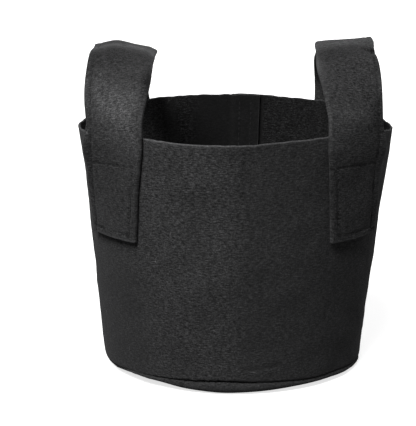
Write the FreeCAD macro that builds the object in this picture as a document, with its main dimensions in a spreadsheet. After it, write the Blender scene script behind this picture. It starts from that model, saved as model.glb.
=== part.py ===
"""Fabric grow bag: a round felt planter with two carrying straps. Millimetres, +Z up.

The origin is the centre of the base on the ground. -Y is the front, and the straps are at -X and +X.
The bag is sewn from needled felt: a side panel rolled into a tapered tube and lapped at the back,
a dished base, and two straps, each of two plies. The lower ends of a strap, its legs, are sewn to
the outside of the wall. The loop between them flops about a line through its two feet.
"""

import FreeCAD, Part
import math
import os

import Sketcher
from FreeCAD import Placement, Rotation, Vector

DIMENSIONS = {
    "felt": 1.6,  # thickness of one ply
    "foot_radius": 86.0,  # outside of the wall where it meets the base
    "rim_radius": 102.7,  # outside of the wall at the rim
    "bag_height": 162.0,  # ground to rim
    "crease_height": 7.0,  # ground to the seam between wall and base
    "base_round": 5.0,  # outside radius of the base's rolled edge
    "allowance": 8.0,  # felt turned in at the base seam
    "lap_width": 18.0,  # overlap of the side panel's two ends
    "lap_turn": 3.8,  # degrees from straight back to the middle of the lap, towards +X
    "strap_width": 42.0,
    "leg_foot": 97.0,  # ground to the lower end of a leg
    "leg_top": 164.0,  # ground to the upper end of a leg
    "foot_angle": 52.0,  # degrees from front or back to the middle of a leg at its lower end
    "top_angle": 45.0,  # the same at the rim
    "pivot_reach": 74.0,  # centre of the bag to the line that a loop flops about
    "pivot_height": 171.0,
    "half_span": 75.0,  # from the middle of a loop to its feet, front or back
    "crest_height": 213.0,  # ground to the middle of the strap's thickness at the top of a loop
    "crest_shift": 1.5,  # how much nearer to the centre of the bag a loop is at its top
    "loop_twist": 30.0,  # degrees between the strap's width and the X axis at a loop's feet
    "neck_half": 6.0,  # half the width of a loop's foot, where the felt creases as it flops
    "neck_start": 2.0,  # heights above the pivot: the foot's lower end,
    "neck_end": 9.0,  # the upper end of its narrow stretch,
    "shoulder": 17.5,  # and the start of the strap's full width
    "thread": 0.4,  # thickness of a row of stitches
    "row_width": 0.7,  # width of a row of stitches
    "row_gap": 0.2,  # between the felt and the thread on it
    "row_inset": 4.0,  # from the edge of the felt to the row beside it
    "box_top": 145.0,  # ground to the top row of a leg's sewn box
    "lap_row_a": 5.0,  # from the middle of the lap to its two rows of stitches
    "lap_row_b": -3.5,
    "seam_inset": 5.0,  # from the crease to the row that joins wall and base
    "ply_gap": 0.05,  # between plies that lie on each other
}

doc = FreeCAD.newDocument("GrowBag")
sheet = doc.addObject("Spreadsheet::Sheet", "Sizes")
for row, (alias, value) in enumerate(DIMENSIONS.items(), start=1):
    sheet.set(f"A{row}", alias)
    sheet.set(f"B{row}", str(value))
    sheet.setAlias(f"B{row}", alias)
doc.recompute()


def size(alias):
    """A driving dimension, read from the spreadsheet."""
    return float(getattr(sheet, alias))


def wall_radius(height):
    """Outside radius of the wall at a height above the ground."""
    rise = (height - size("crease_height")) / (size("bag_height") - size("crease_height"))
    return size("foot_radius") + (size("rim_radius") - size("foot_radius")) * rise


# ---------------------------------------------------------------- turned felt: wall and base


def new_body(label):
    body = doc.addObject("PartDesign::Body", label)
    body.Label = label
    return body


def profile(body, name, points, turn=0.0):
    """A closed half section in the XZ plane. A point is (reach, height), or (reach, height, centre
    reach) where the edge that arrives at it is a lower outer quarter of a circle, whose centre is at
    that reach and as high as the edge's upper end. Reach and height are words for the spreadsheet's cells."""
    plane = [f for f in body.Origin.OriginFeatures if f.Role == "XZ_Plane"][0]
    sketch = body.newObject("Sketcher::SketchObject", name)
    sketch.AttachmentSupport = [(plane, "")]
    sketch.MapMode = "FlatFace"
    sketch.AttachmentOffset = Placement(Vector(), Rotation(Vector(0, 1, 0), turn))
    places = [Vector(number(p[0]), number(p[1]), 0) for p in points]
    for i, point in enumerate(points):
        start, end = places[i - 1], places[i]
        if len(point) == 3:
            centre = Vector(number(point[2]), max(start.y, end.y), 0)
            circle = Part.Circle(centre, Vector(0, 0, 1), (end - centre).Length)
            sketch.addGeometry(Part.ArcOfCircle(circle, -math.pi / 2, 0))
        else:
            sketch.addGeometry(Part.LineSegment(start, end))
    ends = [edge_ends(sketch, i, places[i]) for i in range(len(points))]
    for i, point in enumerate(points):
        following = (i + 1) % len(points)
        sketch.addConstraint(Sketcher.Constraint("Coincident", i, ends[i][1], following, ends[following][0]))
    for i, point in enumerate(points):
        for axis, kind, word in ((-2, "DistanceX", point[0]), (-1, "DistanceY", point[1])):
            pin(sketch, kind, i, ends[i][1], axis, word)
        if len(point) == 3:
            pin(sketch, "DistanceX", i, 3, -2, point[2])
    return sketch


def number(word):
    """The value of a sum of spreadsheet cells, such as "foot_radius - felt"."""
    total, sign = 0.0, 1.0
    for token in word.split():
        if token in "+-":
            sign = -1.0 if token == "-" else 1.0
        else:
            total += sign * (size(token) if token in DIMENSIONS else float(token))
    return total


def edge_ends(sketch, index, end):
    """Which vertex of an edge is its start and which its end: 1 or 2."""
    last = sketch.Geometry[index].EndPoint
    return (1, 2) if (last - end).Length < 1e-6 else (2, 1)


def pin(sketch, kind, index, vertex, axis, word):
    """Holds a vertex at a distance from the origin, bound to the spreadsheet."""
    if word == "0":
        sketch.addConstraint(Sketcher.Constraint("PointOnObject", index, vertex, axis))
        return
    at = sketch.addConstraint(Sketcher.Constraint(kind, -1, 1, index, vertex, number(word)))
    bound = " ".join(f"Sizes.{token}" if token in DIMENSIONS else token for token in word.split())
    sketch.setExpression(f"Constraints[{at}]", bound)


def turn_about_z(body, sketch, angle=None):
    """Revolves a half section about the bag's axis, the whole way or by an angle's expression."""
    turned = body.newObject("PartDesign::Revolution", sketch.Name + "Turn")
    turned.Profile = sketch
    turned.ReferenceAxis = (sketch, ["V_Axis"])
    turned.Angle = 360.0
    if angle:
        turned.Midplane = True
        turned.setExpression("Angle", angle)
    sketch.Visibility = False


def side_panel():
    """The wall, with its lower edge turned in at the seam, and the second ply where it laps."""
    body = new_body("side_panel")
    turned_in = "crease_height + ply_gap"
    wall = [
        ("foot_radius", turned_in),
        ("rim_radius", "bag_height"),
        ("rim_radius - felt", "bag_height"),
        ("foot_radius - felt", turned_in + " + felt"),
        ("foot_radius - allowance", turned_in + " + felt"),
        ("foot_radius - allowance", turned_in),
    ]
    turn_about_z(body, profile(body, "WallSection", wall))
    lap = [
        ("foot_radius - felt", turned_in + " + felt"),
        ("rim_radius - felt", "bag_height"),
        ("rim_radius - felt - felt", "bag_height"),
        ("foot_radius - felt - felt", turned_in + " + felt"),
    ]
    section = profile(body, "LapSection", lap, turn=90.0 - size("lap_turn"))
    turn_about_z(body, section, "Sizes.lap_width / Sizes.rim_radius * 180 / pi")


def base_disc():
    """The base: flat on the ground, rolled up to the crease, its edge turned in under the wall's."""
    body = new_body("base_disc")
    section = [
        ("0", "0"),
        ("foot_radius - base_round", "0"),
        ("foot_radius", "base_round", "foot_radius - base_round"),
        ("foot_radius", "crease_height"),
        ("foot_radius - allowance", "crease_height"),
        ("foot_radius - allowance", "crease_height - felt"),
        ("foot_radius - felt", "crease_height - felt"),
        ("foot_radius - felt", "base_round"),
        ("foot_radius - base_round", "felt", "foot_radius - base_round"),
        ("0", "felt"),
    ]
    turn_about_z(body, profile(body, "BaseSection", section))


def base_seam_thread():
    ring = doc.addObject("Part::Torus", "base_seam_thread")
    ring.Label = "base_seam_thread"
    ring.setExpression("Radius1", "Sizes.foot_radius - Sizes.seam_inset")
    ring.setExpression("Radius2", "Sizes.thread / 2")
    height = "Sizes.crease_height + Sizes.felt + 2 * Sizes.ply_gap + Sizes.thread / 2"
    ring.setExpression("Placement.Base.z", height)


# ---------------------------------------------------------------- straps


def strap_angle(height):
    """Degrees from front or back to the middle of a leg at a height."""
    rise = (height - size("leg_foot")) / (size("bag_height") - size("leg_foot"))
    return size("foot_angle") + (size("top_angle") - size("foot_angle")) * rise


def wrapped_plate(side, end, across, heights, offsets, middle=strap_angle, spans=4):
    """A plate that follows the wall. side is -1 at -X, end is -1 at the front, across is its two edges
    measured from the middle line, and offsets are its two faces measured from the wall's outside."""
    sections = []
    for k in range(spans + 1):
        height = heights[0] + (heights[1] - heights[0]) * k / spans
        radius = wall_radius(height)
        angles = [math.radians(middle(height)) + reach / radius for reach in across]
        angles.insert(1, sum(angles) / 2)
        inner, outer = [
            [Vector(side * r * math.sin(a), end * r * math.cos(a), height) for a in angles]
            for r in (radius + offsets[0], radius + offsets[1])
        ]
        edges = [
            Part.Arc(*inner).toShape(),
            Part.makeLine(inner[2], outer[2]),
            Part.Arc(*reversed(outer)).toShape(),
            Part.makeLine(outer[0], inner[0]),
        ]
        sections.append(Part.Wire(edges))
    return Part.makeLoft(sections, True, True)


def add_feature(label, shape, placement=Placement()):
    feature = doc.addObject("Part::Feature", label)
    feature.Label = label
    feature.Shape = shape
    feature.Placement = placement


def leg(side, end):
    """The sewn end of a strap: two plies lying on the outside of the wall."""
    half = size("strap_width") / 2
    gap = size("ply_gap")
    return wrapped_plate(
        side, end, (-half, half), (size("leg_foot"), size("leg_top")), (gap, gap + 2 * size("felt"))
    )


def sewn_box(side, end):
    """The box of stitches through a leg and the wall: one ring outside and one inside."""
    half = size("strap_width") / 2 - size("row_inset")
    low = size("leg_foot") + size("row_inset")
    high = size("box_top")
    wide = size("row_width")
    outside = size("ply_gap") + 2 * size("felt") + size("row_gap")
    inside = -size("felt") - size("row_gap")
    rings = []
    for near, far in ((outside, outside + size("thread")), (inside - size("thread"), inside)):
        whole = wrapped_plate(side, end, (-half, half), (low, high), (near, far))
        hole = wrapped_plate(
            side, end, (wide - half, half - wide), (low + wide, high - wide), (near - 1, far + 1)
        )
        rings.append(whole.cut(hole).Solids[0])
    return Part.makeCompound(rings)


def lap_seam_threads():
    """Two rows of stitches down the lap, seen on both faces of the wall."""
    rows = []
    start = size("crease_height") + size("allowance")
    stop = size("bag_height") - size("row_inset")
    inside = -2 * size("felt") - size("row_gap")
    outside = size("row_gap")
    for place in (size("lap_row_a"), size("lap_row_b")):
        turn = size("lap_turn") + math.degrees(place / size("rim_radius"))
        half = size("row_width") / 2
        for near in (inside - size("thread"), outside):
            rows.append(
                wrapped_plate(
                    1, 1, (-half, half), (start, stop), (near, near + size("thread")),
                    middle=lambda height, turn=turn: turn, spans=1,
                )
            )
    return Part.makeCompound(rows)


def loop_section(side, turn, across, faces):
    """One cross-section of a loop, about the pivot. turn runs from 0 at its front foot to 180 at its
    back foot, across is its two edges from the middle line, out from the bag, and faces its two faces."""
    t = math.radians(turn)
    rise = size("crest_height") - size("pivot_height")
    span = size("half_span")
    centre = Vector(-side * size("crest_shift") * math.sin(t), -span * math.cos(t), rise * math.sin(t))
    along = Vector(-side * size("crest_shift") * math.cos(t), span * math.sin(t), rise * math.cos(t))
    along.normalize()
    twist = math.radians(size("loop_twist")) * math.cos(t) ** 3
    wide = Vector(side * math.cos(twist), math.sin(twist), 0)
    wide = (wide - along * wide.dot(along)).normalize()
    out = wide.cross(along) * side
    corners = [
        centre + wide * across[0] + out * faces[0],
        centre + wide * across[1] + out * faces[0],
        centre + wide * across[1] + out * faces[1],
        centre + wide * across[0] + out * faces[1],
    ]
    return Part.makePolygon(corners + corners[:1])


def loop_turns(first_height, count):
    """Places along a loop, evenly spaced from a height above the pivot over the top and down again."""
    rise = size("crest_height") - size("pivot_height")
    first = math.degrees(math.asin(first_height / rise))
    return [first + (180 - 2 * first) * k / count for k in range(count + 1)]


def loop(side):
    """The free arch of a strap: full width but for the feet, where it narrows to flop."""
    half, neck, face = size("strap_width") / 2, size("neck_half"), size("felt")
    full = [(turn, half) for turn in loop_turns(size("shoulder"), 16)]
    feet = [(loop_turns(size(height), 1), neck) for height in ("neck_start", "neck_end")]
    stations = [(turns[0], width) for turns, width in feet] + full
    stations += [(turns[1], width) for turns, width in reversed(feet)]
    sections = [loop_section(side, turn, (-width, width), (-face, face)) for turn, width in stations]
    return Part.makeLoft(sections, True, True)


def loop_edge_stitching(side):
    """The row that closes a strap's two plies along its outer edge, on both faces of the loop."""
    row = size("strap_width") / 2 - size("row_inset")
    near = size("felt") + size("row_gap")
    rows = []
    for faces in ((near, near + size("thread")), (-near - size("thread"), -near)):
        across = (row - size("row_width") / 2, row + size("row_width") / 2)
        turns = loop_turns(size("shoulder") + size("row_inset"), 16)
        sections = [loop_section(side, turn, across, faces) for turn in turns]
        rows.append(Part.makeLoft(sections, True, True))
    return Part.makeCompound(rows)


side_panel()
base_disc()
base_seam_thread()
add_feature("lap_seam_threads", lap_seam_threads())
for side, side_name in ((-1, "left"), (1, "right")):
    for end, end_name in ((-1, "front"), (1, "rear")):
        add_feature(f"{side_name}_{end_name}_leg", leg(side, end))
        add_feature(f"{side_name}_{end_name}_stitching", sewn_box(side, end))
    pivot = Placement(Vector(side * size("pivot_reach"), 0, size("pivot_height")), Rotation())
    add_feature(f"{side_name}_handle_loop", loop(side), pivot)
    add_feature(f"{side_name}_loop_stitching", loop_edge_stitching(side), pivot)
doc.recompute()

for item in doc.Objects:
    if {"Invalid", "Error"} & set(item.State):
        raise RuntimeError(f"{item.Label} failed: {item.State}")

os.makedirs("parts", exist_ok=True)
kinds = ("PartDesign::Body", "Part::Torus", "Part::Feature")
for item in doc.Objects:
    if item.TypeId not in kinds:
        continue
    shape = item.Shape
    if shape.isNull() or not shape.isValid() or shape.Volume <= 0:
        raise RuntimeError(f"{item.Label} has no valid shape")
    shape.exportStep(f"parts/{item.Label}.step")
    box = shape.BoundBox
    print(
        f"{item.Label:24s} {len(shape.Solids)} solids {shape.Volume / 1000:8.2f} cm3 "
        f"x {box.XMin:.1f}..{box.XMax:.1f} y {box.YMin:.1f}..{box.YMax:.1f} z {box.ZMin:.1f}..{box.ZMax:.1f}"
    )
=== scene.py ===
"""Fabric grow bag: felt wall, felt base, two felt straps and their stitching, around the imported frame.

Metres, +Z up. -Y is the front. Angles round the bag are measured from the front, positive towards +X.
"""

import math
from collections import namedtuple

import bpy
import numpy as np
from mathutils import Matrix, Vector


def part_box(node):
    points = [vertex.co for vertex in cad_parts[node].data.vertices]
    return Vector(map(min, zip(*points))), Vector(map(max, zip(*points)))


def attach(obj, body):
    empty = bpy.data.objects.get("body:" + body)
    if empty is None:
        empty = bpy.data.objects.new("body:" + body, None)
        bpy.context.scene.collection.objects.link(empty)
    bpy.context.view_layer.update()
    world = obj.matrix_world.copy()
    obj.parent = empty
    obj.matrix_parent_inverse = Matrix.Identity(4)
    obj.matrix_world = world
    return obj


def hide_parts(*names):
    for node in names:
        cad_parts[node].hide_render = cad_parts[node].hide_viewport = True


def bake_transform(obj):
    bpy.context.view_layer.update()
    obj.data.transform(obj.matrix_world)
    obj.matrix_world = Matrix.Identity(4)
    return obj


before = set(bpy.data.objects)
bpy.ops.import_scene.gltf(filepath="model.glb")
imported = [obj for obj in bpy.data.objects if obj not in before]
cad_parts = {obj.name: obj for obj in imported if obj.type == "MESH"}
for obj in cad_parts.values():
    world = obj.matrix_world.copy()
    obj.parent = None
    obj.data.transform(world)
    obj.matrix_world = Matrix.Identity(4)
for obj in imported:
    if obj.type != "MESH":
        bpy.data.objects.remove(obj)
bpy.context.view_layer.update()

# ---------------------------------------------------------------- sizes, from the frame

MM = 0.001
TAU = 2 * math.pi

wall_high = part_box("side_panel")[1]
base_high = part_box("base_disc")[1]
loop_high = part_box("left_handle_loop")[1]
leg_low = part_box("left_front_leg")[0]

FELT = 1.6 * MM  # one ply
CUT_LIP = 0.5 * MM  # width of the mesh's last row along a cut edge
CUT_BULGE = 0.3 * FELT  # how far a cut edge stands out between its two faces
CUT_SHINE_AND_WEAR = 0.8  # how pale the faces are at a cut edge, from paler cut fibres and painted highlight, as a share of the edge itself
RIM_RADIUS = wall_high[0]
RIM_HEIGHT = wall_high[2]
FOOT_RADIUS = base_high[0]
SEAM_HEIGHT = base_high[2]
ALLOWANCE = 8 * MM  # felt turned in at the base seam
LEG_FOOT = leg_low[2]
LEG_TOP = 157 * MM  # the strap follows the wall up to here
LOOP_FOOT = 165 * MM  # and stands free in an arch above here
LOOP_HALF = 75 * MM  # half the arch's span
CREST_AT = 0.466  # the painted highlight along a loop's top, as a share of the way along the strap
CREST_HEIGHT = loop_high[2] - FELT  # middle of the strap's thickness at the top of a loop
LOOP_REACH = 74 * MM  # middle of a loop's crest, from the bag's middle
STRAP_HALF = 21 * MM  # half a folded strap's width
BOX_TOP = 145 * MM  # top of the sewn boxes
ROW_INSET = 4 * MM  # stitches from a strap's edge
EDGE_ROW = 1 - ROW_INSET / STRAP_HALF  # the same, as a share of the half width
SLOPE = (RIM_RADIUS - FOOT_RADIUS) / (RIM_HEIGHT - SEAM_HEIGHT)


# ---------------------------------------------------------------- small tools


def smooth(x, low, high):
    """0 below low, 1 above high, and an even S between them."""
    s = np.clip((np.asarray(x, float) - low) / (high - low), 0, 1)
    return s * s * (3 - 2 * s)


def bell(x, centre, width):
    """1 at the centre, and less the further away."""
    return np.exp(-(((np.asarray(x, float) - centre) / width) ** 2))


def ripple(points, wavelength, seed, waves=28):
    """Smooth random relief of about unit height at points, as a sum of waves in random directions."""
    rng = np.random.default_rng(seed)
    way = rng.normal(size=(waves, 3))
    way /= np.linalg.norm(way, axis=1)[:, None]
    way *= (TAU / wavelength * rng.uniform(0.6, 1.5, waves))[:, None]
    phase = rng.uniform(0, TAU, waves)
    flat = np.asarray(points, float).reshape(-1, 3)
    total = np.cos(flat @ way.T + phase).sum(axis=1) * math.sqrt(2 / waves)
    return total.reshape(np.shape(points)[:-1])


def turn_from(angle, centre):
    """Difference between angles, from -pi to pi."""
    return (np.asarray(angle, float) - centre + math.pi) % TAU - math.pi


def near(angle, degrees, width):
    """1 at a place round the bag, given in degrees, and less beside it, over a width in radians."""
    return bell(turn_from(angle, math.radians(degrees)), 0, width)


def around(angle, radius, height):
    angle, radius, height = np.broadcast_arrays(angle, radius, height)
    return np.stack([radius * np.sin(angle), -radius * np.cos(angle), height], axis=-1)


def outwards(angle):
    """Level unit vectors away from the bag's middle."""
    return around(angle, 1.0, 0.0)


def unit(vectors):
    return vectors / np.maximum(np.linalg.norm(vectors, axis=-1, keepdims=True), 1e-12)


def grid_normals(grid):
    """Unit normals of a surface at the points of its grid."""
    along = np.gradient(grid, axis=0)
    across = np.gradient(grid, axis=1)
    return unit(np.cross(along, across))


def new_object(name, points, faces, material, uv=None, marks=None):
    """A smooth mesh from points and quads. uv, and each mark by its name, hold one value for each point."""
    mesh = bpy.data.meshes.new(name)
    mesh.from_pydata([tuple(p) for p in points], [], [tuple(int(i) for i in f) for f in faces])
    mesh.update()
    mesh.polygons.foreach_set("use_smooth", [True] * len(mesh.polygons))
    if uv is not None:
        corner = np.zeros(len(mesh.loops), np.int32)
        mesh.loops.foreach_get("vertex_index", corner)
        layer = mesh.uv_layers.new(name="cloth")
        layer.data.foreach_set("uv", np.asarray(uv, float)[corner].ravel())
    for mark, values in (marks or {}).items():
        layer = mesh.attributes.new(mark, "FLOAT", "POINT")
        layer.data.foreach_set("value", np.asarray(values, np.float32))
    mesh.materials.append(material)
    piece = bpy.data.objects.new(name, mesh)
    bpy.context.scene.collection.objects.link(piece)
    return piece


def edged(low, high, count, lip):
    """Evenly spaced values with one more a lip's width from either end, for the look of a cut edge."""
    values = np.linspace(low, high, count)
    return np.concatenate([[low, low + lip], values[1:-1], [high - lip, high]])


def finer_at(values, places, reach, more=8):
    """The values, with some more close round each place."""
    close = np.linspace(-reach, reach, more)
    return np.unique(np.concatenate([values] + [place + close for place in places]))


def perimeter(rows, columns):
    """A grid's edge in order, and for each of its points the neighbour just inside."""
    edge = [(i, 0) for i in range(rows)] + [(rows - 1, j) for j in range(1, columns)]
    edge += [(i, columns - 1) for i in range(rows - 2, -1, -1)] + [(0, j) for j in range(columns - 2, 0, -1)]
    inside = [(min(max(i, 1), rows - 2), min(max(j, 1), columns - 2)) for i, j in edge]
    return np.array(edge), np.array(inside)


def ply(name, middle, material, above, below, uv, edge_highlight_and_wear, tone_and_light_above, tone_and_light_below):
    """A sheet of felt with a cut edge all round, from the grid of its middle surface. above and below
    raise or press its two faces, in metres; the edge marks make them pale, from paler cut fibres and painted
    highlight, and the last two give each face its tone with painted light and shade."""
    rows, columns = middle.shape[:2]
    normal = grid_normals(middle)
    top = middle + normal * (FELT / 2 + np.broadcast_to(above, (rows, columns)))[..., None]
    low = middle - normal * (FELT / 2 + np.broadcast_to(below, (rows, columns)))[..., None]
    edge, inside = perimeter(rows, columns)
    out = unit(middle[edge[:, 0], edge[:, 1]] - middle[inside[:, 0], inside[:, 1]])
    lip = middle[edge[:, 0], edge[:, 1]] + out * CUT_BULGE
    index = np.arange(rows * columns).reshape(rows, columns)
    quads = np.stack([index[:-1, :-1], index[1:, :-1], index[1:, 1:], index[:-1, 1:]], axis=-1).reshape(-1, 4)
    under = quads[:, ::-1] + rows * columns
    ring = index[edge[:, 0], edge[:, 1]]
    lips = np.arange(len(edge)) + 2 * rows * columns
    after = np.roll(np.arange(len(edge)), -1)
    upper_rim = np.stack([ring[after], ring, lips, lips[after]], axis=1)
    lower_rim = np.stack([lips[after], lips, ring + rows * columns, ring[after] + rows * columns], axis=1)
    points = np.concatenate([top.reshape(-1, 3), low.reshape(-1, 3), lip])
    shine_and_wear = np.broadcast_to(edge_highlight_and_wear, (rows, columns)).ravel().copy()
    shine_and_wear[ring] = np.maximum(shine_and_wear[ring], CUT_SHINE_AND_WEAR)
    shine_and_wear = np.concatenate([shine_and_wear, shine_and_wear, np.ones(len(edge))])
    tone_and_light_layers = [np.broadcast_to(tone_and_painted_light, (rows, columns)).ravel() for tone_and_painted_light in (tone_and_light_above, tone_and_light_below)]
    tone_and_light_layers.append(np.maximum(tone_and_light_layers[0][ring], tone_and_light_layers[1][ring]))
    flat = np.asarray(uv, float).reshape(-1, 2)
    flat = np.concatenate([flat, flat, flat[ring]])
    faces = np.concatenate([quads, under, upper_rim, lower_rim])
    return new_object(name, points, faces, material, flat, {"edge_highlight_and_wear": shine_and_wear, "tone_and_painted_light": np.concatenate(tone_and_light_layers)})


# ---------------------------------------------------------------- materials


def node(tree, kind, **values):
    made = tree.nodes.new(kind)
    for key, value in values.items():
        if key in made.inputs:
            made.inputs[key].default_value = value
        else:
            setattr(made, key, value)
    return made


def noise(tree, where, scale, detail=2.0, rough=0.5):
    made = node(tree, "ShaderNodeTexNoise", Scale=scale, Detail=detail, Roughness=rough)
    tree.links.new(where, made.inputs["Vector"])
    return made.outputs["Fac"]


def remap(tree, value, low, high, to_low, to_high):
    made = node(tree, "ShaderNodeMapRange", interpolation_type="SMOOTHSTEP")
    for key, number in (("From Min", low), ("From Max", high), ("To Min", to_low), ("To Max", to_high)):
        made.inputs[key].default_value = number
    tree.links.new(value, made.inputs["Value"])
    return made.outputs["Result"]


def math_node(tree, operation, first, second):
    made = node(tree, "ShaderNodeMath", operation=operation)
    for socket, value in zip(made.inputs, (first, second)):
        if isinstance(value, (int, float)):
            socket.default_value = value
        else:
            tree.links.new(value, socket)
    return made.outputs["Value"]


def times(tree, first, second):
    return math_node(tree, "MULTIPLY", first, second)


def plus(tree, first, second):
    return math_node(tree, "ADD", first, second)


def fibres(tree, where, scale, width):
    """Thin winding lines, as the hairs of felt make: where a smooth noise crosses its middle value."""
    field = noise(tree, where, scale, detail=1.0, rough=0.45)
    away = math_node(tree, "ABSOLUTE", math_node(tree, "SUBTRACT", field, 0.5), 0.0)
    return remap(tree, away, 0.0, width, 1.0, 0.0)


def felt_material(name, grain_where_dark, grain_where_pale):
    """Needled felt: a dark matted ground with pits and short level streaks, paler hairs lying every way,
    a few stray fibres, paler cut edges with painted highlight, and a tone with painted light and shade,
    darker or lighter where the mesh says. The two numbers are the share of the grain that shows where that
    tone is dark and where it is pale."""
    material = bpy.data.materials.new(name)
    material.use_nodes = True
    tree = material.node_tree
    shader = tree.nodes["Principled BSDF"]
    shader.inputs["Roughness"].default_value = 0.95
    shader.inputs["Specular IOR Level"].default_value = 0.12
    shader.inputs["Sheen Weight"].default_value = 0.06
    shader.inputs["Sheen Roughness"].default_value = 0.6
    shader.inputs["Sheen Tint"].default_value = (0.6, 0.6, 0.62, 1)
    where = node(tree, "ShaderNodeTexCoord").outputs["Object"]
    cloth = node(tree, "ShaderNodeUVMap", uv_map="cloth").outputs["UV"]
    shine_and_wear = node(tree, "ShaderNodeAttribute", attribute_name="edge_highlight_and_wear").outputs["Fac"]
    tone_and_painted_light = node(tree, "ShaderNodeAttribute", attribute_name="tone_and_painted_light").outputs["Fac"]
    grain = noise(tree, where, 900, detail=3, rough=0.7)
    patches = noise(tree, where, 45)
    clumps = noise(tree, where, 330, detail=1)
    pits = noise(tree, where, 1600, rough=0.6)
    long_way = node(tree, "ShaderNodeVectorMath", operation="MULTIPLY")
    long_way.inputs[1].default_value = STREAK_SCALE
    tree.links.new(cloth, long_way.inputs[0])
    streaks = noise(tree, long_way.outputs["Vector"], 1.0, rough=0.6)
    hairs = math_node(tree, "MAXIMUM", fibres(tree, where, 330, 0.012), fibres(tree, where, 560, 0.016))
    thin = times(tree, hairs, remap(tree, grain, 0.4, 0.65, 0.15, 1.0))

    light = remap(tree, grain, 0.3, 0.7, 0.55, 1.45)
    for layer, spread in ((patches, 0.08), (pits, 0.3), (streaks, 0.58), (clumps, 0.1)):
        light = times(tree, light, remap(tree, layer, 0.3, 0.7, 1 - spread, 1 + spread))
    # How much of the grain shows goes by the tone with its painted light, and the painted half lit part of
    # the inside shows more.
    contrast = remap(tree, tone_and_painted_light, 0.65, 0.95, grain_where_dark, grain_where_pale)
    half_lit = math_node(
        tree, "MINIMUM",
        remap(tree, tone_and_painted_light, 0.17, 0.24, 0, INSIDE_GRAIN), remap(tree, tone_and_painted_light, 0.3, 0.5, INSIDE_GRAIN, 0),
    )
    uneven = times(tree, math_node(tree, "SUBTRACT", light, 1.0), plus(tree, contrast, half_lit))
    light = plus(tree, plus(tree, uneven, 1.0), times(tree, thin, HAIR_LIGHT))
    # Edge marks: paler cut fibres, and painted highlight along lit edges and folds.
    light = plus(tree, light, times(tree, shine_and_wear, EDGE_LIGHT))
    few = remap(tree, noise(tree, where, 75, detail=1), 0.64, 0.7, 0.0, LINT_LIGHT)
    light = plus(tree, light, times(tree, fibres(tree, where, 95, 0.005), few))
    ramp = node(tree, "ShaderNodeVectorMath", operation="SCALE")
    ramp.inputs[0].default_value = FELT_SHADE
    # The base colour is the felt's shade times its tone with painted light and shade.
    tree.links.new(times(tree, light, tone_and_painted_light), ramp.inputs["Scale"])
    tree.links.new(ramp.outputs["Vector"], shader.inputs["Base Color"])

    relief = grain
    for layer, height in ((pits, 0.5), (streaks, 0.5), (thin, 0.35)):
        relief = plus(tree, relief, times(tree, layer, height))
    bump = node(tree, "ShaderNodeBump", Strength=0.7, Distance=0.35 * MM)
    tree.links.new(relief, bump.inputs["Height"])
    tree.links.new(bump.outputs["Normal"], shader.inputs["Normal"])
    return material


def thread_material():
    """Spun polyester thread: a tight slanting twist with a soft sheen."""
    material = bpy.data.materials.new("thread")
    material.use_nodes = True
    tree = material.node_tree
    shader = tree.nodes["Principled BSDF"]
    shader.inputs["Roughness"].default_value = 0.7
    shader.inputs["Specular IOR Level"].default_value = 0.15
    shader.inputs["Sheen Weight"].default_value = 0.05
    where = node(tree, "ShaderNodeUVMap", uv_map="cloth").outputs["UV"]
    twist = node(tree, "ShaderNodeTexWave", Scale=0.32, Distortion=0.6, Detail=1.0)
    twist.bands_direction = "DIAGONAL"
    tree.links.new(where, twist.inputs["Vector"])
    ramp = node(tree, "ShaderNodeVectorMath", operation="SCALE")
    ramp.inputs[0].default_value = THREAD_SHADE
    tree.links.new(remap(tree, twist.outputs["Fac"], 0, 1, 0.7, 1.5), ramp.inputs["Scale"])
    tree.links.new(ramp.outputs["Vector"], shader.inputs["Base Color"])
    bump = node(tree, "ShaderNodeBump", Strength=0.6, Distance=0.08 * MM)
    tree.links.new(twist.outputs["Fac"], bump.inputs["Height"])
    tree.links.new(bump.outputs["Normal"], shader.inputs["Normal"])
    return material


FELT_SHADE = (0.0275, 0.0275, 0.028)
THREAD_SHADE = (0.010, 0.010, 0.0105)
STREAK_SCALE = (340, 1450, 1)  # across and along the cloth: the streaks are four times as long as high
HAIR_LIGHT = 0.6  # how much paler than the ground the matted hairs are
EDGE_LIGHT = 1.3  # the same for the edge marks: paler cut fibres, and painted highlight on lit edges and folds
LINT_LIGHT = 2.6  # the same for the few stray fibres
INSIDE_GRAIN = 1.6  # how much more of the grain shows on the half lit part of the inside

FELT_LOOK = felt_material("felt", 0.68, 1.12)
STRAP_LOOK = felt_material("strap_felt", 1.45, 0.95)
THREAD_LOOK = thread_material()


# ---------------------------------------------------------------- the shape of the wall

LEG_ANGLES = [math.radians(a) for a in (-48, 48, -132, 132)]  # middles of the four legs
LAP_START = math.radians(-190)  # the panel's inner end, behind the outer one
LAP_END = math.radians(181.2)  # its outer end
LAP_SHADE = LAP_START + TAU - 0.007  # painted shadow in the corner beside the inner end
LAP_ROWS = [math.radians(176.2) + turn for turn in (-5 * MM / RIM_RADIUS, 3.5 * MM / RIM_RADIUS)]
WRINKLE_HEIGHT = 17.5 * MM  # a short crease low on the front
INSIDE_PAINTED_SHADE = 0.28  # painted shade of the faces inside the bag, as a share of the outside's

# Where the rim stands higher or lower: centre and width in degrees, and height in millimetres.
RIM_LIFTS = [(38, 25, 2.7), (-38, 15, 0.7), (90, 22, -4.7), (-90, 22, -4.3), (-165, 22, 1.2)]


def crease(angle):
    """Height of the seam between wall and base."""
    lump = ripple(around(angle, FOOT_RADIUS, 0 * angle), 45 * MM, 3)
    return 4.6 * MM + 3.6 * MM * near(angle, -8, 0.85) + 0.25 * MM * lump


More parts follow.
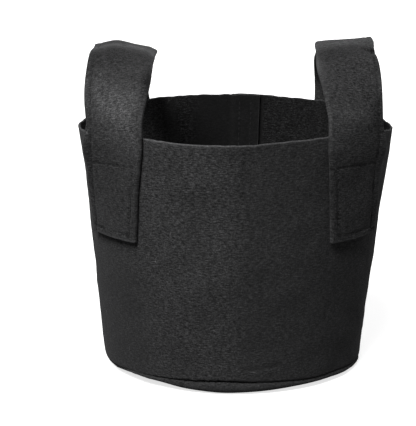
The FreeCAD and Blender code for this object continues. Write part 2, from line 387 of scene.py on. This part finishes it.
def base_lift(angle):
    """How far the base's rolled edge stands off the ground."""
    right = 2.3 * MM * near(angle, 40, 0.49)
    left = 4.8 * MM * near(angle, -45, 0.41)
    back = 1.2 * MM * (0.5 + 0.5 * np.cos(3 * angle + 1)) * smooth(np.abs(turn_from(angle, 0)), 1.3, 1.8)
    return right + left + back


def seam_gap(angle):
    """How far the seam gapes, most of all at the front."""
    ragged = 1 + 0.35 * ripple(around(angle, FOOT_RADIUS, 0 * angle), 5 * MM, 4)
    return 0.9 * MM * near(angle, -6, 0.24) * ragged


def turn_in(angle):
    """How far wall and base roll in where they meet."""
    return 0.45 * MM + 0.85 * MM * near(angle, 9, 0.48)


def wall_outside(angle, height):
    """Points of the wall's outer face, whichever ply is outermost there."""
    angle, height = np.broadcast_arrays(np.asarray(angle, float), np.asarray(height, float))
    high = np.clip(height / RIM_HEIGHT, 0, 1.1)
    radius = FOOT_RADIUS + SLOPE * (height - SEAM_HEIGHT)
    for side in (-90, 90):  # soft folds, from when the bag was packed flat
        radius = radius + 0.7 * MM * near(angle, side, 0.10) * high**2
    for leg in LEG_ANGLES:  # each strap end flattens the wall, which stands out beside its outer edge
        radius = radius - 1.1 * MM * bell(turn_from(angle, leg), 0, 0.24) * high**3
        outer_edge = leg + math.copysign(0.24, math.pi / 2 - abs(leg)) * math.copysign(1, leg)
        held_flat = smooth(height, 95 * MM, 150 * MM) * (1 - 0.5 * smooth(height, 150 * MM, 165 * MM))
        radius = radius + 2.2 * MM * bell(turn_from(angle, outer_edge), 0, 0.15) * held_flat
    radius = radius - 1.3 * MM * near(angle, -90, 0.4) * bell(height, 92 * MM, 40 * MM)
    plain = around(angle, FOOT_RADIUS, height)
    radius = radius + 0.45 * MM * ripple(plain, 75 * MM, 11) * (0.35 + 0.65 * high)
    radius = radius + 0.16 * MM * ripple(plain, 26 * MM, 12)
    radius = radius + 0.6 * MM * wrinkle(angle, height)
    return lean(around(angle, radius, height))


def wrinkle(angle, height):
    """A short crease low on the front: below 0 in its valley and above 0 on the lip under it."""
    level = WRINKLE_HEIGHT + 9 * MM * np.maximum(angle - 0.2, 0)
    length = smooth(angle, 0.04, 0.14) * (1 - smooth(angle, 0.32, 0.4))
    return (0.8 * bell(height, level - 1.7 * MM, 1.0 * MM) - bell(height, level, 1.1 * MM)) * length


def lean(points):
    """The whole bag stands a touch out of true, its foot towards -X."""
    moved = np.array(points, float)
    moved[..., 0] += 1.9 * MM * moved[..., 2] / RIM_HEIGHT - 1.7 * MM
    return moved


def middle_angle(points):
    """Angle round the bag of points on the wall."""
    return np.arctan2(points[..., 0], -points[..., 1])


def inward(angle, height, depth):
    """Points at a depth inside the wall's outer face."""
    face = wall_outside(angle, height)
    way = np.stack([-np.sin(angle), np.cos(angle), np.full(np.shape(angle), SLOPE)], axis=-1)
    return face + unit(way) * np.asarray(depth, float)[..., None]


# ---------------------------------------------------------------- side panel


def rim_height(angle):
    """The cut rim: highest beside the right strap, drooping at the sides, with a step at the lap."""
    edge = around(angle, RIM_RADIUS, 0 * angle)
    uneven = 0.25 * MM * ripple(edge, 50 * MM, 21) + 0.12 * MM * ripple(edge, 9 * MM, 22)
    for centre, width, lift in RIM_LIFTS:
        uneven = uneven + lift * MM * near(angle, centre, math.radians(width))
    return RIM_HEIGHT + 0.3 * MM + uneven + 0.7 * MM * smooth(angle, math.pi - 0.3, math.pi)


def wall_painted_light(angle, middle):
    """Painted light and shade on the wall's two faces. Outside, the right half is painted darker, and so is
    the left flank, while the upper part is painted paler and the low crease gets painted shade in its valley
    and a painted highlight on its lip; inside is painted dark, the right is paler, the back left is painted
    palest, and a painted shadow follows the lap."""
    front = turn_from(angle, 0)[:, None]
    right = smooth(front, -0.06, 0.12)
    outer = 1.06 - 0.22 * right - 0.22 * (1 - smooth(front, -0.8, -0.45))
    upper = smooth(middle[..., 2], 58 * MM, 105 * MM)
    outer = outer * (0.85 + 0.07 * right + (0.21 - 0.15 * right) * upper)
    outer = outer + 0.3 * wrinkle(middle_angle(middle), middle[..., 2])
    turn = angle[:, None]
    inner = 0.54 + 0.1 * smooth(-turn, 3.07, 3.14) + 0.26 * smooth(turn, 1.0, 2.1)
    inner = inner + 5 * bell(turn, -2.41, 0.24)
    inner = INSIDE_PAINTED_SHADE * inner * (1 - 0.85 * bell(turn, LAP_SHADE, 0.014)) + 0 * middle[..., 0]
    return inner, outer


def make_side_panel():
    """The tapered tube, from its inner end round to its outer one, with its lower edge turned in."""
    columns, rows, roll, tail = 380, 90, 6, 4
    angle = finer_at(edged(LAP_START, LAP_END, columns, CUT_LIP / RIM_RADIUS), [LAP_SHADE], 0.02)
    foot = crease(angle) + FELT / 2 + 0.15 * MM + seam_gap(angle)
    rolled = turn_in(angle)
    bend = foot + rolled
    down = np.concatenate([[0, CUT_LIP / RIM_HEIGHT], np.linspace(0, 1, rows)[1:]])
    down = finer_at(down, [1 - WRINKLE_HEIGHT / RIM_HEIGHT], 4 * MM / RIM_HEIGHT)
    height = rim_height(angle)[:, None] * (1 - down) + bend[:, None] * down
    angles = np.repeat(angle[:, None], len(down), axis=1)
    under = 1 - smooth(angles, LAP_START + 0.172, LAP_START + 0.205)  # 1 where the outer end covers it
    depth = FELT / 2 + under * (FELT + 0.15 * MM) + 0.9 * MM * bell(angles, LAP_START, 0.03)
    upright = inward(angles, height, depth)
    last = upright[:, -1]
    out, up = outwards(angle), np.array([0.0, 0.0, 1.0])
    turned = [
        last - rolled[:, None] * (out * (1 - math.cos(q)) + up * math.sin(q))
        for q in np.linspace(0, math.pi / 2, roll + 1)[1:]
    ]
    end = turned[-1]
    turned += [end - out * ALLOWANCE * q + up * 0.6 * MM * q for q in np.linspace(0, 1, tail + 1)[1:]]
    middle = np.concatenate([upright, np.stack(turned, axis=1)], axis=1)
    across = angle[:, None] * FOOT_RADIUS + 0 * middle[..., 0]
    drop = np.cumsum(np.linalg.norm(np.diff(middle, axis=1, prepend=middle[:, :1]), axis=-1), axis=1)
    outside = 0.05 * MM * ripple(middle, 7 * MM, 31)
    inside = 0.05 * MM * ripple(middle, 7 * MM, 32)
    for row in LAP_ROWS:  # the stitches press both faces in
        pressed = 0.3 * MM * bell(angles, row, 0.9 * MM / RIM_RADIUS)
        outside = outside - np.pad(pressed, ((0, 0), (0, roll + tail)))
        pressed = 0.3 * MM * bell(angles, row - TAU, 0.9 * MM / RIM_RADIUS)
        inside = inside - np.pad(pressed, ((0, 0), (0, roll + tail)))
    # Paler cut fibres and painted highlight along the rim.
    edge_highlight_and_wear = 0.25 * bell(drop, 0, 1.2 * MM)
    uv = np.stack([across, drop], axis=-1)
    inner_painted_light, outer_painted_light = wall_painted_light(angle, middle)
    return ply("side_panel_felt", middle, FELT_LOOK, inside, outside, uv, edge_highlight_and_wear, inner_painted_light, outer_painted_light)


# ---------------------------------------------------------------- base


# Where the flat, the rolled up and the turned over parts end, as shares of the mesh's rings.
FLAT_END, ROLL_END, OVER_END = 0.5, 0.74, 0.88


def make_base():
    """A disc on a square grid, whose outer rings roll up to the crease and turn in."""
    half = 44
    steps = np.arange(-half, half + 1)
    a, b = np.meshgrid(steps, steps, indexing="ij")
    ring = np.maximum(np.abs(a), np.abs(b))
    safe = np.maximum(ring, 1)
    sector = np.where(
        np.abs(a) >= np.abs(b),
        np.where(a >= 0, b / safe, 4 - b / safe),
        np.where(b >= 0, 2 - a / safe, 6 + a / safe),
    )
    angle = turn_from(sector * math.pi / 4, 0)
    way = ring / half
    lift = base_lift(angle)
    rise = np.maximum(crease(angle) - FELT - lift, 1.0 * MM)
    belly, brow = rise * 0.62, rise * 0.38  # the parts of the edge's height below and above its widest
    edge = around(angle, FOOT_RADIUS, 0 * angle)
    wide = FOOT_RADIUS - FELT / 2 + 0.2 * MM * ripple(edge, 30 * MM, 41) - 2.0 * MM * near(angle, -75, 0.35)
    inset = 5 * MM  # how far in from the edge the felt starts to roll up
    flat = np.clip(way / FLAT_END, 0, 1)
    roll = np.clip((way - FLAT_END) / (ROLL_END - FLAT_END), 0, 1) * math.pi / 2
    over = np.clip((way - ROLL_END) / (OVER_END - ROLL_END), 0, 1) * math.pi / 2
    tail = np.clip((way - OVER_END) / (1 - OVER_END), 0, 1)
    radius = (wide - inset) * flat + inset * np.sin(roll)
    radius = radius - turn_in(angle) * (1 - np.cos(over)) - ALLOWANCE * tail
    height = FELT / 2 + lift * smooth(flat, 0.7, 1) + belly * (1 - np.cos(roll)) + brow * np.sin(over)
    height = height - 0.5 * MM * tail
    middle = lean(around(angle, radius, height))
    notch = 1.0 * MM * bell(angle, math.radians(-20.5), 0.012) * smooth(way, 0.6, 0.75)
    middle = middle - outwards(angle) * notch[..., None]
    face = 0.05 * MM * ripple(middle, 7 * MM, 42)
    face += 0.15 * MM * ripple(middle, 22 * MM, 43) * (1 - smooth(way, 0.4, 0.5))
    under = 0.06 * MM * ripple(middle, 8 * MM, 44) * smooth(way, 0.62, 0.72)
    uv = around(angle, way * 98 * MM, 0.0)[..., :2] * (1, -1)  # 98 mm from middle to edge, laid flat
    # Paler along the rolled edge.
    edge_highlight_and_wear = 0.2 * bell(way, 0.62, 0.08)
    # The inside face takes the painted dark shade of the bag's inside.
    return ply("base_felt", middle, FELT_LOOK, face, under, uv, edge_highlight_and_wear, INSIDE_PAINTED_SHADE, 0.85)


# ---------------------------------------------------------------- straps


def strap_angle(height):
    """Angle from front or back to the middle of a leg, which slants inwards as it rises."""
    rise = (height - LEG_FOOT) / (RIM_HEIGHT - LEG_FOOT)
    return np.radians(52 - 7 * rise)


def free_part(way, low, high):
    """1 on a strap's loop and 0 on its legs, going over from low to high, and the same at its other end."""
    return smooth(way, low, high) * (1 - smooth(way, 1 - high, 1 - low))


# What makes each strap its own. Places along a strap (at) run from 0 to 1, places across it (centre) and
# widths from -1 to 1, and depths, lengths and heights are in millimetres.
# Crest: height of the top, its slope across, how steeply and where it is ridged, and the fold's sag.
Crest = namedtuple("Crest", "level tilt ridge ridge_at droop")
# Tuck: one edge of the loop, -1 the fold or 1 the open one, is narrower at a place that runs from
# -1 at the back foot to 1 at the front foot.
Tuck = namedtuple("Tuck", "edge narrower at width")
# Pinch: a dent. Mark: a spot of painted highlight or painted shade.
Pinch = namedtuple("Pinch", "at centre depth length width")
Mark = namedtuple("Mark", "at centre change length width")
# Shade: the plain tone; a painted highlight band by each foot, its place, slant and width along the strap,
# how pale it is and how much more so towards the fold; painted shade above it; and a painted highlight along
# the crest.
Shade = namedtuple("Shade", "plain band_at slant width pale skew flattened crest")


class Strap:
    """One folded strap. Its surface is a function of the way along it, from 0 at the front leg's foot
    to 1 at the back leg's, and of the way across, from -1 at the fold to 1 at the open edge."""

    def __init__(self, side, crest, back_turn, back_reach, trim, tucks, pinches, shade, marks):
        self.side = side
        self.crest = crest
        self.back_turn = back_turn  # how far the back leg is turned round the bag
        self.back_reach = back_reach  # how far the loop's back foot stands outwards
        self.trim = trim  # how much narrower the loop is at the fold and at the open edge
        self.tucks = tucks
        self.pinches = pinches
        self.shade = shade
        self.marks = marks
        across = np.linspace(-1, 1, 25)
        rows = [self.leg_row(height, -1, across) for height in self.leg_heights()]
        rows += [self.loop_row(turn, across) for turn in np.radians(np.linspace(9, 171, 19))]
        rows += [self.leg_row(height, 1, across) for height in reversed(self.leg_heights())]
        self.rows = np.array(rows)
        centre = self.rows[:, len(across) // 2]
        steps = np.linalg.norm(np.diff(centre, axis=0), axis=1)
        self.length = steps.sum()
        self.knots = np.concatenate([[0], np.cumsum(steps)]) / self.length
        self.across = across

    def leg_heights(self):
        return np.linspace(LEG_FOOT, LEG_TOP, 9)

    def leg_row(self, height, end, across):
        """Across a leg, lying on the wall; above the sewn box it starts to stand off."""
        shift = self.back_turn if end > 0 else 0.0
        half = STRAP_HALF + 1.2 * MM * (1 - smooth(height, LEG_FOOT, BOX_TOP))
        angle = strap_angle(height) + shift + across * half / (FOOT_RADIUS + SLOPE * height)
        turn = angle if end < 0 else math.pi - angle
        free = 1.8 * MM * smooth(height, LEG_FOOT, BOX_TOP)
        free += 6.5 * MM * smooth(height, BOX_TOP - 9 * MM, 168 * MM)
        flap = np.clip((across - 0.75) / 0.25, 0, 1) ** 2
        stand = FELT + 0.15 * MM + free * np.clip((across + 0.5) / 1.5, 0, 1) ** 2 + 0.9 * MM * flap
        return inward(self.side * turn, height + 0 * across, -stand)

    def loop_row(self, turn, across):
        """Across the free arch, at an angle from its front foot over the top to its back foot."""
        side, rise = self.side, CREST_HEIGHT - LOOP_FOOT
        s, c = math.sin(turn), math.cos(turn)
        reach = LOOP_REACH + 1.0 * MM * abs(c) - 1.5 * MM * s + self.back_reach * min(c, 0) ** 4
        centre = np.array([side * reach, -LOOP_HALF * c, LOOP_FOOT + rise * s])
        along = unit(np.array([0, LOOP_HALF * s, rise * c]))
        twist = math.radians(38) * c * abs(c) ** 1.6  # towards its feet it turns to lie along the wall
        wide = np.array([side * math.cos(twist), math.sin(twist), 0.0])
        wide = unit(wide - along * wide.dot(along))
        inner, outer = self.trim
        slim = np.where(across < 0, inner, outer) * smooth(s, -0.15, 0.85)
        for tuck in self.tucks:
            slim = slim + tuck.narrower * MM * bell(c, tuck.at, tuck.width) * (across * tuck.edge > 0)
        w = across * (STRAP_HALF * (1 - 0.04 * s) - slim)
        crest, blunt = self.crest, 2 * MM
        fall = np.sqrt((w - crest.ridge_at * MM) ** 2 + blunt**2) - blunt
        droop = crest.droop * MM * smooth(-across, 0.7, 1.05)
        lift = (crest.level * MM + crest.tilt * w - crest.ridge * fall - droop) * s**3
        row = centre + w[:, None] * wide
        row[:, 2] += lift
        row[:, 0] += side * 0.8 * MM * (1 - across**2) * s
        return lean(row)

    def tone_and_painted_light(self, way, across):
        """The plain tone with painted light: a painted highlight band where each foot of the loop bends,
        painted shade above it, a painted highlight on the crest, and painted spots.
        """
        look = self.shade
        tone_and_painted_light = look.plain + 0 * way
        for end, share in ((way, 1.0), (1 - way, 0.4)):
            pale = share * look.pale * (1 - look.skew * across) * (1 - 0.5 * across**2)
            tone_and_painted_light = tone_and_painted_light + pale * bell(end - look.slant * across, look.band_at, look.width)
            tone_and_painted_light = tone_and_painted_light - share * look.flattened * bell(end, 0.415, 0.05)
        tone_and_painted_light = tone_and_painted_light + look.crest * bell(way, CREST_AT, 0.028)
        return tone_and_painted_light + self.spots(self.marks, way, across)

    def spots(self, places, way, across):
        """The sum of some marks or pinches, each as strong as its third value."""
        total = 0 * way
        for at, centre, amount, length, width in places:
            total = total + amount * bell(way, at, length * MM / self.length) * bell(across, centre, width)
        return total

    def middle(self, way, across):
        """The surface between the two plies, smooth through the rows."""
        way = np.clip(np.asarray(way, float), 0, 1)
        k = np.clip(np.searchsorted(self.knots, way, side="right") - 1, 0, len(self.knots) - 2)
        before, after = np.maximum(k - 1, 0), np.minimum(k + 2, len(self.knots) - 1)
        span = self.knots[k + 1] - self.knots[k]
        q = ((way - self.knots[k]) / span)[..., None]
        across = np.asarray(across, float)
        p0, p1, p2, p3 = (self.pick(r, across) for r in (before, k, k + 1, after))
        t0, t1, t2, t3 = (self.knots[r][..., None] for r in (before, k, k + 1, after))
        m1 = (p2 - p0) / np.maximum(t2 - t0, 1e-9) * span[..., None]
        m2 = (p3 - p1) / np.maximum(t3 - t1, 1e-9) * span[..., None]
        return (
            p1 * (2 * q**3 - 3 * q**2 + 1) + m1 * (q**3 - 2 * q**2 + q)
            + p2 * (3 * q**2 - 2 * q**3) + m2 * (q**3 - q**2)
        )

    def pick(self, row, across):
        place = (across + 1) / 2 * (len(self.across) - 1)
        j = np.clip(place.astype(int), 0, len(self.across) - 2)
        part = (place - j)[..., None]
        return self.rows[row, j] * (1 - part) + self.rows[row, j + 1] * part

    def normal(self, way, across):
        """Away from the bag on a leg, and up at the top of the loop."""
        d = 0.002
        along = self.middle(np.minimum(way + d, 1), across) - self.middle(np.maximum(way - d, 0), across)
        wide = self.middle(way, np.minimum(across + d, 1)) - self.middle(way, np.maximum(across - d, -1))
        return unit(np.cross(wide, along)) * self.side

    def place(self, way, across, off):
        return self.middle(way, across) + self.normal(way, across) * np.asarray(off, float)[..., None]

    def height_way(self, height, end):
        """The way along the strap at a height on the front (-1) or back (1) leg."""
        way = np.interp(height, self.leg_heights(), self.knots[: len(self.leg_heights())])
        if end < 0:
            return way
        back = self.knots[-len(self.leg_heights()) :][::-1]
        return np.interp(height, self.leg_heights(), back)


def strap_presses(strap, way, across):
    """Where the rows of stitches press the felt in: the open edge's row and the legs' boxes."""
    groove, margin = 0.05, 0.004  # a row's width across the strap, and how soon its end fades along it
    pressed = bell(across, EDGE_ROW, groove)
    for end in (-1, 1):
        foot = strap.height_way(LEG_FOOT + ROW_INSET, end)
        top = strap.height_way(BOX_TOP, end)
        low, high = min(foot, top), max(foot, top)
        within = smooth(way, low - margin, low) * (1 - smooth(way, high, high + margin))
        pressed = np.maximum(pressed, bell(across, -EDGE_ROW, groove) * within)
        for edge in (foot, top):
            line = bell(way, edge, 1.0 * MM / strap.length)
            line = line * (1 - smooth(np.abs(across), EDGE_ROW, EDGE_ROW + 0.04))
            pressed = np.maximum(pressed, line)
    return pressed


def strap_dents(strap, way, across):
    """Slow unevenness of a free loop, and the pinches where it was creased."""
    flat = np.stack([way * strap.length, across * STRAP_HALF, 0 * way], axis=-1)
    dents = 0.5 * MM * ripple(flat, 48 * MM, 61 + strap.side) * free_part(way, 0.22, 0.3)
    return dents - MM * strap.spots(strap.pinches, way, across)


def make_strap(strap, name):
    """Both plies and the fold between them, as one sheet of felt."""
    rows, ply_steps, fold_steps = 240, 40, 6
    lip = CUT_LIP / strap.length
    lines = [strap.height_way(z, end) for z in (LEG_FOOT + ROW_INSET, BOX_TOP) for end in (-1, 1)]
    way = finer_at(edged(0, 1, rows, lip), lines, 3 * MM / strap.length)
    apart = FELT / 2 + 0.06 * MM  # middle of a ply from the middle of the strap
    fold_at = -1 + apart / STRAP_HALF
    to_fold = edged(fold_at, 1, ply_steps, CUT_LIP / STRAP_HALF)
    to_fold = finer_at(to_fold, [EDGE_ROW, -EDGE_ROW], 2 * MM / STRAP_HALF)[::-1]
    turn = np.linspace(0, math.pi, fold_steps + 2)[1:-1]
    across = np.concatenate([to_fold, fold_at - np.sin(turn) * apart / STRAP_HALF, to_fold[::-1]])
    off = np.concatenate([0 * to_fold + apart, np.cos(turn) * apart, 0 * to_fold - apart])
    ways, acrosses = np.meshgrid(way, across, indexing="ij")
    offs = np.broadcast_to(off, ways.shape)
    free = free_part(ways, 0.19, 0.25)
    full = 0.25 * MM * free * (1 - np.abs(acrosses) ** 4)  # the plies part a little between the edges
    inside = np.clip(acrosses, -1, 1)
    over = (acrosses - inside)[..., None] * STRAP_HALF
    wide = strap.middle(ways, np.full(ways.shape, -0.9)) - strap.middle(ways, np.full(ways.shape, -1.0))
    grid = strap.place(ways, inside, offs + np.sign(offs) * full) + unit(wide) * over
    grid += strap.normal(ways, inside) * strap_dents(strap, ways, inside)[..., None]
    presses = strap_presses(strap, ways, acrosses)
    relief = 0.06 * MM * ripple(grid, 8 * MM, 51 + strap.side)
    relief = relief - 0.6 * MM * presses * (0.85 + 0.3 * ripple(grid, 12 * MM, 57))
    distance = np.cumsum(np.concatenate([[0], np.abs(np.diff(across)) * STRAP_HALF]))
    uv = np.stack([np.broadcast_to(distance, ways.shape), ways * strap.length], axis=-1)
    # Painted highlight along the lit fold, and paler cut fibres with painted highlight at the strap's ends.
    edge_highlight_and_wear = 0.45 * bell(acrosses, -1.02, 0.05) * free + 0.9 * bell(np.minimum(ways, 1 - ways), 0, 1.6 * lip)
    patchy = 1 + 0.07 * ripple(grid, 4.5 * MM, 58)
    # This speckles the painted highlight on the crest.
    patchy = patchy + 0.2 * ripple(grid, 4 * MM, 59) * bell(ways, CREST_AT, 0.03)
    # Painted shade along the stitched grooves.
    tone_and_painted_light = strap.tone_and_painted_light(ways, inside) * (1 - 0.18 * presses) * patchy
    # The inner ply's faces keep no painted highlight above 0.9.
    tone_and_painted_light = np.where(offs > 0, tone_and_painted_light, np.minimum(tone_and_painted_light, 0.9))
    above, below = (relief, 0.0) if strap.side > 0 else (0.0, relief)
    return ply(name, grid, STRAP_LOOK, above, below, uv, edge_highlight_and_wear, tone_and_painted_light, tone_and_painted_light)


# ---------------------------------------------------------------- stitches


STITCH_PITCH = 3.6 * MM
THREAD_RADIUS = 0.3 * MM
STITCH_SUNK = 0.62 * MM  # a stitch's ends under the line it is laid on
STITCH_RISE = 0.75 * MM  # its middle above its ends
THREAD_UV = 2500  # the twist's pattern along the thread, for each metre


def stitch_row(points, normals):
    """Stitches along a line on the felt: each rises from its hole, lies on the felt and dives again."""
    steps = np.linalg.norm(np.diff(points, axis=0), axis=1)
    along = np.concatenate([[0], np.cumsum(steps)])
    count = max(1, int(along[-1] / STITCH_PITCH))
    verts, faces, uvs = [], [], []
    sides, rings = 6, 9
    hump = np.sin(np.linspace(0, math.pi, rings))
    rise = hump**0.6 * STITCH_RISE - STITCH_SUNK
    thick = THREAD_RADIUS * (0.75 + 0.25 * hump)[:, None, None]
    ring_angle = np.arange(sides) * TAU / sides
    turn = ring_angle[None, :, None]
    for k in range(count):
        place = (k + np.linspace(0.06, 0.94, rings)) * along[-1] / count
        centre = np.stack([np.interp(place, along, points[:, d]) for d in range(3)], axis=1)
        up = unit(np.stack([np.interp(place, along, normals[:, d]) for d in range(3)], axis=1))
        centre = centre + up * rise[:, None]
        ahead = unit(np.gradient(centre, axis=0))
        beside = unit(np.cross(ahead, up))
        above = np.cross(beside, ahead)
        ring = centre[:, None] + thick * (np.cos(turn) * beside[:, None] + np.sin(turn) * above[:, None])
        verts.append(ring.reshape(-1, 3))
        uv = np.broadcast_arrays(ring_angle[None, :] * 2, place[:, None] * THREAD_UV)
        uvs.append(np.stack(uv, -1).reshape(-1, 2))
        base = k * rings * sides
        for r in range(rings - 1):
            for q in range(sides):
                a, b = base + r * sides + q, base + r * sides + (q + 1) % sides
                faces.append((a, b, b + sides, a + sides))
        faces.append(tuple(base + q for q in reversed(range(sides))))
        faces.append(tuple(base + (rings - 1) * sides + q for q in range(sides)))
    return np.concatenate(verts), faces, np.concatenate(uvs)


def make_stitches(name, rows):
    verts, faces, uvs = [], [], []
    for points, normals in rows:
        v, f, u = stitch_row(points, normals)
        start = sum(len(x) for x in verts)
        verts.append(v)
        uvs.append(u)
        faces += [tuple(i + start for i in face) for face in f]
    return new_object(name, np.concatenate(verts), faces, THREAD_LOOK, np.concatenate(uvs))


def strap_line(strap, way, across, face):
    """A line just under a strap's outer (1) or inner (-1) face, where the stitches press it in."""
    normal = strap.normal(way, across)
    points = strap.place(way, across, np.full(len(way), face * (FELT - 0.55 * MM)))
    points += normal * strap_dents(strap, way, across)[:, None]
    return points, normal * face


def box_rows(strap, end):
    """The sewn box of a leg, outside on the strap and inside on the wall."""
    foot, top = LEG_FOOT + ROW_INSET, BOX_TOP
    corners = [(foot, -EDGE_ROW), (foot, EDGE_ROW), (top, EDGE_ROW), (top, -EDGE_ROW), (foot, -EDGE_ROW)]
    rows = []
    for (z0, w0), (z1, w1) in zip(corners, corners[1:]):
        across = np.linspace(w0, w1, 24)
        way = strap.height_way(np.linspace(z0, z1, 24), end)
        rows.append(strap_line(strap, way, across, 1))
        normal = strap.normal(way, across)
        rows.append((strap.middle(way, across) - normal * 2 * FELT, -normal))
    return rows


def edge_rows(strap):
    """The row that closes a strap's plies along its open edge, on both faces, above the boxes."""
    first, last = (strap.height_way(BOX_TOP + 3 * MM, end) for end in (-1, 1))
    way = np.linspace(first, last, 120)
    return [strap_line(strap, way, np.full(len(way), EDGE_ROW), face) for face in (1, -1)]


def lap_rows():
    """The two rows down the lap, outside on its outer ply and inside on its inner one."""
    rows = []
    height = np.linspace(RIM_HEIGHT - 3 * MM, SEAM_HEIGHT + 7 * MM, 80)
    for angle in LAP_ROWS:
        angles = np.full(len(height), angle)
        for depth, face in ((0.25 * MM, 1), (2 * FELT - 0.1 * MM, -1)):
            rows.append((inward(angles, height, np.full(len(height), depth)), outwards(angles) * face))
    return rows


def seam_rows():
    """The ring inside the bag that joins wall and base."""
    angle = np.linspace(0, TAU, 361)
    height = crease(angle) + FELT + 0.3 * MM + seam_gap(angle)
    points = lean(around(angle, FOOT_RADIUS - 5.5 * MM, height))
    return [(points, np.tile([0.0, 0.0, 1.0], (len(angle), 1)))]


# ---------------------------------------------------------------- the pieces

straps = {
    "left": Strap(
        side=-1,
        crest=Crest(level=-1.4, tilt=0.0, ridge=0.215, ridge_at=5.2, droop=2.4),
        back_turn=math.radians(2), back_reach=5.5 * MM, trim=(0.7 * MM, 0.0),
        tucks=[Tuck(edge=-1, narrower=-1.3, at=0.85, width=0.3)],
        pinches=[Pinch(0.5, 0.1, 0.7, 6, 0.5)],
        shade=Shade(
            plain=0.87, band_at=0.258, slant=0.045, width=0.052, pale=1.2, skew=0.25,
            flattened=0.32, crest=0.85,
        ),
        # Spots of painted highlight and painted shade.
        marks=[
            Mark(0.2, 0.1, 0.4, 6, 0.6), Mark(0.275, -0.8, 0.25, 7, 0.35),
            Mark(0.3, -1.0, -0.9, 24, 0.2), Mark(0.358, 0.25, -0.16, 9, 0.9),
        ],
    ),
    "right": Strap(
        side=1,
        crest=Crest(level=0.2, tilt=0.11, ridge=0.035, ridge_at=0.0, droop=0.0),
        back_turn=0.0, back_reach=-1.6 * MM, trim=(-0.3 * MM, 4.2 * MM),
        tucks=[
            Tuck(edge=1, narrower=1.6, at=0.36, width=0.16), Tuck(edge=-1, narrower=3.0, at=-0.6, width=0.35),
            Tuck(edge=-1, narrower=-1.6, at=0.6, width=0.35),
        ],
        pinches=[Pinch(0.405, 0.9, 2.2, 3, 0.35), Pinch(0.458, 0.6, 1.1, 3, 0.35)],
        shade=Shade(
            plain=0.78, band_at=0.236, slant=0.02, width=0.027, pale=0.55, skew=0.85,
            flattened=0.3, crest=0.6,
        ),
        # Spots of painted highlight and painted shade.
        marks=[
            Mark(0.14, 0.8, 0.25, 14, 0.4), Mark(0.195, -0.6, 0.3, 7, 0.6), Mark(0.25, 0.9, -0.42, 9, 0.5),
            Mark(0.32, 0.85, 0.14, 8, 0.45), Mark(0.37, -1.0, 0.7, 16, 0.12),
            Mark(0.398, 0.8, -0.5, 1.6, 0.45), Mark(0.4, -0.5, -0.12, 14, 0.5),
            Mark(0.412, 0.85, -0.4, 1.2, 0.3), Mark(0.426, 0.9, 0.3, 2.5, 0.25),
            Mark(0.46, 0.5, -0.3, 2.5, 0.3),
        ],
    ),
}

panel = make_side_panel()
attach(panel, "bag")
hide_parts("side_panel")

base = make_base()
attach(base, "bag")
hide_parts("base_disc")

for name, strap in straps.items():
    band = make_strap(strap, f"{name}_strap_felt")
    edge = make_stitches(f"{name}_strap_edge_stitches", edge_rows(strap))
    for piece, look in ((band, "felt"), (edge, "thread")):
        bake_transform(piece)
    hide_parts(f"{name}_front_leg", f"{name}_rear_leg", f"{name}_handle_loop")
    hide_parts(f"{name}_loop_stitching")
    for end_name, end in (("front", -1), ("rear", 1)):
        box = make_stitches(f"{name}_{end_name}_box_stitches", box_rows(strap, end))
        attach(box, "bag")
        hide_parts(f"{name}_{end_name}_stitching")

for name, rows, cad_node in (
    ("lap_stitches", lap_rows(), "lap_seam_threads"),
    ("base_seam_stitches", seam_rows(), "base_seam_thread"),
):
    piece = make_stitches(name, rows)
    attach(piece, "bag")
    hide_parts(cad_node)


# ---------------------------------------------------------------- floor, light and camera


def make_floor():
    """A wide pale floor that glows a little, so that it is as white as the backdrop."""
    material = bpy.data.materials.new("pale_floor")
    material.use_nodes = True
    shader = material.node_tree.nodes["Principled BSDF"]
    shader.inputs["Base Color"].default_value = (0.6, 0.6, 0.6, 1)
    shader.inputs["Roughness"].default_value = 0.8
    shader.inputs["Emission Color"].default_value = (1, 1, 1, 1)
    shader.inputs["Emission Strength"].default_value = 0.72
    half = 6.0
    corners = [(-half, -half, 0), (half, -half, 0), (half, half, 0), (-half, half, 0)]
    floor = new_object("floor", corners, [(0, 1, 2, 3)], material)
    floor.visible_diffuse = False  # its bounce would flatten the shading of dark felt
    floor.visible_glossy = False  # and its glow would show in the felt's sheen


def make_light(name, azimuth, elevation, strength, spread):
    """A distant softbox. azimuth is from the front, towards +X, and all three angles are in degrees."""
    data = bpy.data.lights.new(name, "SUN")
    data.energy = strength
    data.angle = math.radians(spread)
    light = bpy.data.objects.new(name, data)
    bpy.context.scene.collection.objects.link(light)
    light.rotation_euler = (math.radians(90 - elevation), 0, math.radians(azimuth))


def make_camera():
    data = bpy.data.cameras.new("camera")
    data.lens = 140.5
    data.clip_start = 0.05
    data.clip_end = 50
    camera = bpy.data.objects.new("camera", data)
    bpy.context.scene.collection.objects.link(camera)
    camera.location = (0, -1.083, 0.3385)
    pitch, yaw = math.radians(12.48), math.radians(0.93)
    camera.rotation_euler = (math.pi / 2 - pitch, 0, yaw)
    bpy.context.scene.camera = camera


def make_world():
    world = bpy.data.worlds.new("studio")
    world.use_nodes = True
    world.node_tree.nodes["Background"].inputs["Color"].default_value = (1, 1, 1, 1)
    world.node_tree.nodes["Background"].inputs["Strength"].default_value = 0.2
    bpy.context.scene.world = world


make_floor()
make_light("key", azimuth=-25, elevation=50, strength=4.1, spread=28)
make_light("fill", azimuth=165, elevation=26, strength=1.3, spread=60)
make_world()
make_camera()
bpy.context.scene.view_settings.view_transform = "Standard"
